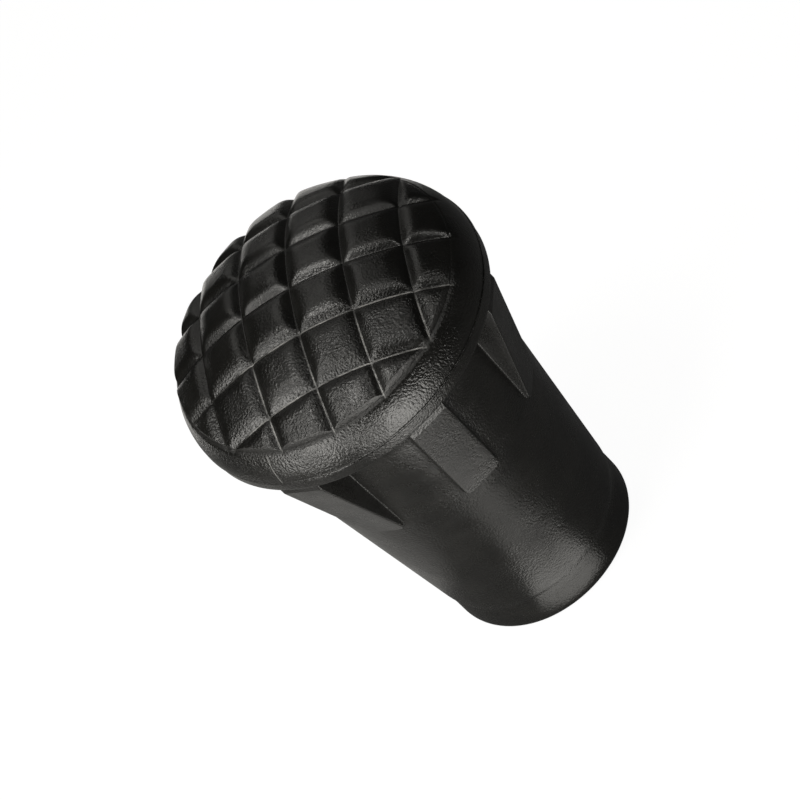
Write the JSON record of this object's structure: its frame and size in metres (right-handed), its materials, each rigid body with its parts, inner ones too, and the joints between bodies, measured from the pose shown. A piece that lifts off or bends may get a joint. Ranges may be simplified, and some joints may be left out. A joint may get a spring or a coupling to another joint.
{
  "type": "rubber cane tip",
  "caption": "Moulded rubber tip for the end of a walking pole or cane: domed grooved tread, ribbed neck and tapered sleeve with a blind bore.",
  "frame": {"origin": "centre of the sleeve's mouth, in the plane that the tip stands on", "axes": "+Z along the axis from the mouth to the tread; +X and +Y across the two sets of grooves"},
  "size_m": [0.0362, 0.0362, 0.0504],
  "materials": {
    "rubber": "moulded, fine grain, low sheen"
  },
  "bodies": {
    "root": {"rubber_tip": "rubber"}
  },
  "joints": []
}
